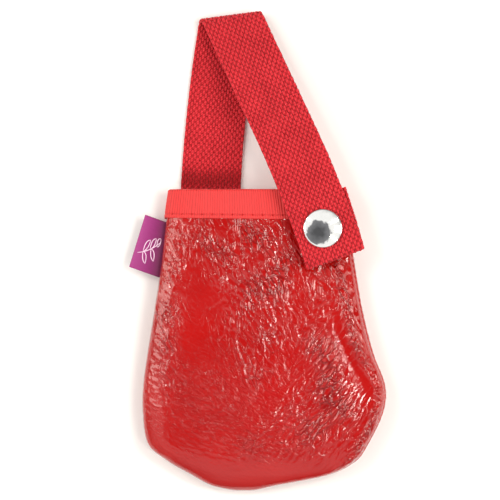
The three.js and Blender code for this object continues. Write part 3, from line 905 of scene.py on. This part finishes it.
def weft_yarns(first_v, last_v):
    """The cross yarns, one each row, from edge to edge between the two faces."""
    rows = np.arange(math.ceil(first_v / ROW), math.floor(last_v / ROW) + 1)
    half = YARNS * YARN_PITCH / 2 + 0.05
    u = np.linspace(-half, half, 24)[None, :, None]
    from_end = np.clip((half - np.abs(u)) / 0.5, 0.02, 1)
    angle = np.linspace(0, 2 * np.pi, YARN_SIDES, endpoint=False)
    along = (rows * ROW)[:, None, None] + 0.5 * from_end * np.cos(angle)
    through = 0.3 * np.sqrt(from_end) * np.sin(angle) + 0 * along
    across = u + 0 * along
    twist = across / TWIST_PITCH + angle / (2 * np.pi) * 2
    # the wefts, lying deep between the faces, get half painted shade
    return strap_point(across, along, through), twist, 0.5 + 0 * across


def hidden_core(start, end, length):
    """The plies packed inside the webbing, which stop light and sight going through it."""
    rings = max(6, int(length / 1.2))
    half = YARNS * YARN_PITCH / 2 - 0.5
    u = np.broadcast_to(np.linspace(-half, half, 12), (rings, 12))
    v = lerp(start(u), end(u), np.linspace(0.004, 0.996, rings)[:, None])
    return shell(strap_point(u, v, CORE_HALF_THICK + 0 * u), strap_point(u, v, -CORE_HALF_THICK + 0 * u))


def root_shade(points):
    """Painted shade: the webbing is darker where it is tucked behind the mouth, in the lip's shadow."""
    return 1.1 * bell(points[:, 1], at(0, ROOT_V)[1] + 2, 4)


def webbing(name, start, end, length, first_v, last_v, *nodes):
    """One length of webbing, from a cut across the strap to another."""
    blocks, faces, twists, painted_dip_shades = [], [], [], []
    layers = [warp_yarns(start, end, length, face) for face in (-1, 1)] + [weft_yarns(first_v, last_v)]
    for layer, twist, sunk in layers:
        faces += shifted(tubes(layer), count_points(blocks))
        blocks.append(layer.reshape(-1, 3))
        twists.append(twist.ravel())
        painted_dip_shades.append(sunk.ravel())
    core, core_faces = hidden_core(start, end, length)
    faces += shifted(core_faces, count_points(blocks))
    points = np.concatenate([*blocks, core])
    strand = np.concatenate([*twists, np.zeros(len(core))])
    # painted shade: full on the hidden core, and by how deep they lie on the yarns
    sunk = np.concatenate([*painted_dip_shades, np.ones(len(core))])
    # painted shade where the back leg goes in behind the mouth's lip
    if first_v < ROOT_V:
        sunk = sunk + root_shade(points)
    piece = make_piece(name, points, faces, WEBBING_COTTON, strand=strand, sunk=sunk)
    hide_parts(*nodes)
    return piece


def strap():
    hem_end = END_V + math.pi * (WEBBING_THICK + GAP) / 2 + HEM_LENGTH
    fold, fold_end = fold_cut(0), fold_cut(TOP_ARC)
    back = webbing(
        "webbing_back", square_cut(ANCHOR_END_V), fold, -ANCHOR_END_V,
        ANCHOR_END_V + 0.5, -0.5, "strap_anchor", "strap_back_leg",
    )
    bend = webbing("webbing_bend", fold, fold_end, 3 * TOP_ARC, -0.5, TOP_ARC - 0.2, "strap_fold")
    front = webbing(
        "webbing_front", fold_end, square_cut(hem_end), hem_end - TOP_ARC,
        TOP_ARC - 0.2, hem_end - 0.5, "strap_front_leg", "strap_tip", "strap_hem",
    )
    place(at(0, ROOT_V))
    place(at(0, ROOT_V + 12))
    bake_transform(back)
    fold_top = place(at(0, TOP_ARC * 0.55))
    place(at(0, TOP_ARC))
    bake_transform(bend)
    place(at(0, TIP_V))
    place(at(0, TIP_V + 9))
    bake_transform(front)


def anchor_stitches():
    """A sewn box with a cross, under the strap's end."""
    reach = WEBBING_WIDTH / 2 - 3
    near, far = ROOT_V - 16, ANCHOR_END_V + 3
    lines = [
        ((-reach, near), (reach, near)),
        ((-reach, far), (reach, far)),
        ((-reach, near), (-reach, far)),
        ((reach, near), (reach, far)),
        ((-reach, near), (reach, far)),
        ((reach, near), (-reach, far)),
    ]
    pieces = []
    for (u0, v0), (u1, v1) in lines:
        count = max(2, round(math.hypot(u1 - u0, v1 - v0) / 2.6))
        for k in range(count):
            t = (k + np.linspace(0.08, 0.92, 8)) / count
            sag = -1.0 + 0.12 * (2 * np.linspace(-0.5, 0.5, 8)) ** 2
            line = strap_point(lerp(u0, u1, t), lerp(v0, v1, t), sag)
            pieces.append(round_tube(line, THREAD_RADIUS + 0 * t, 6))
    points = np.array(pieces)
    piece = make_piece("anchor_stitches", points, tubes(points), RED_THREAD)
    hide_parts("anchor_stitching")
    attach(piece, "pouch")


# ---------- Press stud ----------
def dome(radius, top, drop, steps):
    """Points from the middle of a shallow dome out to its edge."""
    r = np.linspace(0, radius, steps)
    return [(x, top - drop * (x / radius) ** 2) for x in r]


def arc(middle_r, middle_z, radius, start, end, steps=8):
    angles = np.radians(np.linspace(start, end, steps))
    return [(middle_r + radius * math.cos(a), middle_z + radius * math.sin(a)) for a in angles]


SPRING_RING, SPRING_UP, SPRING_WIRE_RADIUS = 2.95, 2.4, 0.22
SPRING_GAP = 0.15  # half of the angle between the wire's ends


def press_stud():
    """Each part's profile is a list of radius and height above the seat."""
    cap = dome(7.3, 10.2, 1.0, 24) + arc(7.65, 8.62, 0.47, 74, -110, 14)
    cap += [(6.9, 8.2), (1.5, 8.2), (1.4, 4.3), (0, 4.2)]
    socket = [(2.75, 1.4), (2.75, 1.85), (3.35, 1.9), (3.35, 2.9), (2.75, 2.95), (2.75, 3.45), (0, 3.45)]
    socket = socket[::-1] + arc(5.1, 1.9, 0.5, -90, 0) + arc(5.1, 3.4, 0.5, 0, 90) + [(0, 3.9)]
    stud = [(0, 0.5), (4.2, 0.5)] + arc(4.2, 0.8, 0.25, -60, 80) + [(2.1, 1.1), (1.6, 1.6)]
    stud += arc(0.9, 2.1, 1.03, 0, 75) + [(0, 3.1)]
    post = [(0, -2.6), (4.4, -2.6), (4.6, -2.4), (4.5, -2.1), (1.4, -1.9), (1.4, 0.2), (0, 0.2)]
    for name, profile, node, body in (
        ("stud_cap", cap[::-1], "snap_cap", "strap_end"),
        ("stud_socket", socket, "snap_socket", "strap_end"),
        ("stud_ball", stud, "snap_stud", "pouch"),
        ("stud_rivet", post, "stud_post", "pouch"),
    ):
        piece = turned(name, profile, NICKEL)
        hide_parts(node)
        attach(piece, body)
    angle = np.linspace(SPRING_GAP, 2 * np.pi - SPRING_GAP, 64)
    x, y = SNAP[0] + SPRING_RING * np.cos(angle), SNAP[1] + SPRING_RING * np.sin(angle)
    points = round_tube(stack(x, y, SNAP[2] + SPRING_UP), SPRING_WIRE_RADIUS + 0 * angle, 10)[None]
    wire = make_piece("ring_spring", points, tubes(points), SPRING_WIRE)
    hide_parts("socket_spring")
    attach(wire, "strap_end")


# ---------- Label ----------
LABEL_TOP = np.array([(-48.6, 14.7), (-39.4, 11.4)])  # outer end, seam end
LABEL_BOTTOM = np.array([(-55.5, -7.6), (-41.9, -12.4)])
LABEL_Z, LABEL_HALF_THICK, LABEL_NARROWS = 7.0, 0.42, 0.25
LABEL_ROWS = 48
LEAVES = (  # place along the stem, side of it, size
    (0.3, 1, 0.24),
    (0.3, -1, 0.2),
    (0.52, 1, 0.22),
    (0.55, -1, 0.2),
    (0.74, 1, 0.16),
)


def label_point(a, b, n):
    """a runs 0 to 1 from the outer fold to the seam, b from the bottom edge to the top."""
    top = lerp(LABEL_TOP[0], LABEL_TOP[1], a[..., None])
    bottom = lerp(LABEL_BOTTOM[0], LABEL_BOTTOM[1], a[..., None])
    x_y = lerp(bottom, top, b[..., None])
    sag = 0.7 * np.sin(np.pi * a * 0.8) + 0.25 * np.sin(2.4 * b + 3 * a)
    return stack(x_y[..., 0], x_y[..., 1], LABEL_Z + sag - 0.8 * (1 - a) + n)


def side_label():
    turn = np.linspace(-np.pi / 2, np.pi / 2, 9)
    lower = [(a, -LABEL_HALF_THICK) for a in np.linspace(1, 0.04, 24)]
    fold = [(0.03 - 0.03 * math.cos(t), LABEL_HALF_THICK * math.sin(t)) for t in turn[1:-1]]
    upper = [(a, LABEL_HALF_THICK) for a in np.linspace(0.04, 1, 24)]
    section = np.array(lower + fold + upper)
    b = np.linspace(0, 1, LABEL_ROWS)
    a_grid = np.broadcast_to(section[None, :, 0], (LABEL_ROWS, len(section)))
    n_grid = section[None, :, 1] * (1 - LABEL_NARROWS * a_grid)
    b_grid = np.broadcast_to(b[:, None], a_grid.shape)
    weave = 0.03 * np.sin(b_grid * LABEL_ROWS * np.pi) * np.sign(n_grid)
    outer = label_point(a_grid, b_grid, n_grid + weave)
    inner = label_point(np.maximum(a_grid, 0.02), b_grid, n_grid * 0.25)
    points, faces = shell(outer, inner)
    # the share of the way to the seam drives the label's painted shade
    inward = np.concatenate([a_grid.ravel()] * 2)
    piece = make_piece("woven_label", points, flipped(faces), LABEL_SATIN, inward=inward)
    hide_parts("side_label")
    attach(piece, "label")
    label_sprig()


def sprig_stroke(ends_and_bow):
    """A tapered thread along a curve from the first to the last of three label points."""
    t = np.linspace(0, 1, 14)
    p = np.array(ends_and_bow, float)
    curve = (1 - t)[:, None] ** 2 * p[0] + (2 * t * (1 - t))[:, None] * p[1] + t[:, None] ** 2 * p[2]
    a, b = curve[:, 0], curve[:, 1]
    line = label_point(a, b, LABEL_HALF_THICK * (1 - LABEL_NARROWS * a) + 0.03)
    return round_tube(line, THREAD_RADIUS * np.sqrt(1 - np.linspace(-0.97, 0.97, 14) ** 4), 6)


def label_sprig():
    """A plain leaf sprig in pale thread."""
    strokes = [sprig_stroke([(0.12, 0.3), (0.5, 0.38), (0.86, 0.62)])]
    for base, side, size in LEAVES:
        start = np.array([base, 0.3 + 0.36 * (base - 0.12) ** 1.1])
        tip = start + np.array([size * 0.75, side * size])
        for bow in (0.1, -0.06):
            middle = (start + tip) / 2 + np.array([-bow * side, bow])
            strokes.append(sprig_stroke([start, middle, tip]))
    points = np.array(strokes)
    piece = make_piece("label_sprig", points, tubes(points), PALE_THREAD)
    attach(piece, "label")
    return piece


# ---------- Stage ----------
OVERHEAD = (-0.09, -0.11, 0)  # the middle of the dark patch overhead, as a direction's X and Y
DARK_RIG, GREY_RIG = (0.1, 0.1, 0.105), (0.22, 0.22, 0.23)
BRIGHT_RING, FAR_WALLS, SKIRTING = (1.04, 1.035, 1.01), (0.4, 0.395, 0.38), (0.12, 0.1, 0.1)
LAMP_COLOR, LAMP_DISTANCE = (1, 0.95, 0.87), 0.8
LAMPS = (  # direction, width and length in metres, radiance
    ("left_box", (-0.8, 0.1, 0.65), (0.24, 0.6), 6),
    ("right_box", (0.62, 0.0, 0.8), (0.14, 0.34), 10),
    ("right_wall", (0.87, 0.0, 0.5), (0.3, 0.6), 3.2),
    ("left_spark", (-0.42, 0.33, 0.85), (0.035, 0.2), 44),
    ("right_spark", (0.4, 0.23, 0.89), (0.035, 0.2), 44),
    ("low_spark", (0.4, -0.28, 0.87), (0.035, 0.2), 40),
)
PICTURE_MIDDLE = (-3.81, -0.42, 0)
CAMERA_HEIGHT, SEEN_WIDTH, SEEN_AT_HEIGHT = 0.78, 0.2119, 0.013  # in metres
SENSOR_WIDTH = 36


def floor():
    bpy.ops.mesh.primitive_plane_add(size=8, location=(0, 0, -0.0001))
    plane = bpy.context.object
    plane.name = "floor"
    plane.data.materials.append(floor_material())


def soft_box(name, toward, size, radiance):
    """An area light that faces the pouch from a direction, with an even brightness."""
    data = bpy.data.lights.new(name, "AREA")
    data.shape = "RECTANGLE"
    data.size, data.size_y = size
    data.color = LAMP_COLOR
    data.energy = radiance * math.pi * size[0] * size[1]
    lamp = bpy.data.objects.new(name, data)
    lamp.location = Vector(toward).normalized() * LAMP_DISTANCE
    lamp.rotation_euler = Vector(toward).to_track_quat("Z", "Y").to_euler()
    bpy.context.scene.collection.objects.link(lamp)


def vector_math(tree, operation, a, b, output="Vector"):
    made = tree.nodes.new("ShaderNodeVectorMath")
    made.operation = operation
    for socket, value in zip(made.inputs, (a, b)):
        if isinstance(value, tuple):
            socket.default_value = value
        else:
            tree.links.new(value, socket)
    return made.outputs[output]


def surroundings():
    """White surroundings with a dark, ragged patch overhead, where the camera's stand would be."""
    world = bpy.data.worlds.new("studio")
    bpy.context.scene.world = world
    world.use_nodes = True
    tree = world.node_tree
    direction = tree.nodes.new("ShaderNodeTexCoord").outputs["Generated"]
    ragged = tree.nodes.new("ShaderNodeTexNoise")
    ragged.inputs["Scale"].default_value = 6
    tree.links.new(direction, ragged.inputs["Vector"])
    push = vector_math(tree, "SUBTRACT", ragged.outputs["Color"], (0.5, 0.5, 0.5))
    push = vector_math(tree, "MULTIPLY", push, (0.25, 0.25, 0))
    flat = vector_math(tree, "MULTIPLY", direction, (1, 1, 0))
    pushed = vector_math(tree, "ADD", flat, push)
    away = vector_math(tree, "DISTANCE", pushed, OVERHEAD, output="Value")
    rig = [(0.12, DARK_RIG), (0.3, GREY_RIG), (0.36, GREY_RIG)]
    room = [(0.4, BRIGHT_RING), (0.6, BRIGHT_RING), (0.85, FAR_WALLS), (0.97, SKIRTING)]
    tree.links.new(add_ramp(tree, away, rig + room), tree.nodes["Background"].inputs["Color"])


def camera():
    data = bpy.data.cameras.new("camera")
    data.sensor_width = SENSOR_WIDTH
    data.lens = SENSOR_WIDTH * (CAMERA_HEIGHT - SEEN_AT_HEIGHT) / SEEN_WIDTH
    viewer = bpy.data.objects.new("camera", data)
    viewer.location = (*(place(PICTURE_MIDDLE)[:2]), CAMERA_HEIGHT)
    bpy.context.scene.collection.objects.link(viewer)
    bpy.context.scene.camera = viewer


camera()
floor()
surroundings()
for name, toward, size, radiance in LAMPS:
    soft_box(name, toward, size, radiance)
bpy.context.scene.view_settings.view_transform = "Standard"

pouch_panel("leather_front", 1, "front_panel", FRONT_GRID)
pouch_panel("leather_back", -1, "back_panel", BACK_GRID)
pouch_lining()
mouth_binding()
binding_stitches()
strap()
anchor_stitches()
press_stud()
side_label()
